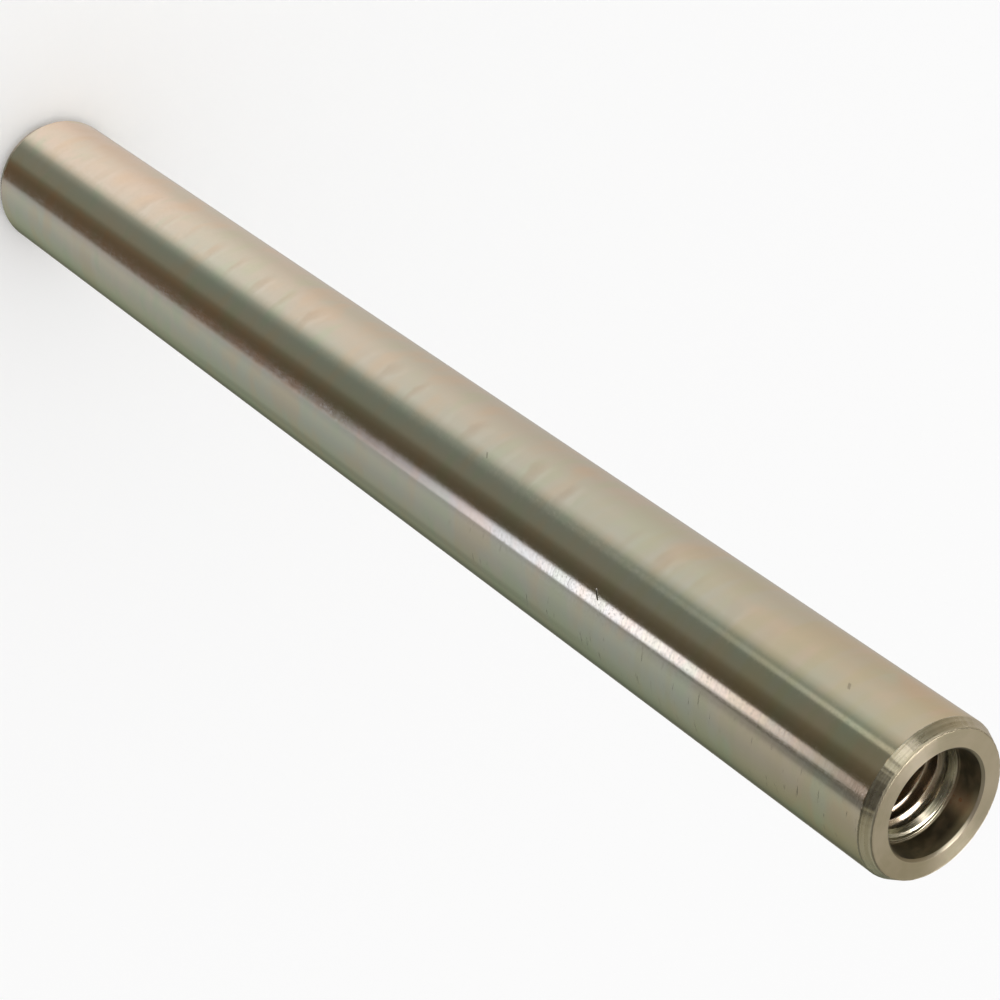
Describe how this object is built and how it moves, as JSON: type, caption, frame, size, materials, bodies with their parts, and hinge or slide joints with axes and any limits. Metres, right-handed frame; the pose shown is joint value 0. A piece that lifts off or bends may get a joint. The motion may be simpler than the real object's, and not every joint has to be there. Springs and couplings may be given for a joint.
{
  "type": "pivot pin",
  "caption": "Straight round steel pivot pin with chamfered ends; one end is counterbored and tapped for a retaining bolt.",
  "frame": {"origin": "centre of the plain end face, at the bottom of the standing pin", "axes": "+Z along the pin's axis, from the plain end to the tapped end"},
  "size_m": [0.032, 0.032, 0.32],
  "materials": {
    "pin_steel": "ground steel with yellow-passivated zinc plating"
  },
  "bodies": {
    "root": {"pivot_pin": "pin_steel"}
  },
  "joints": []
}
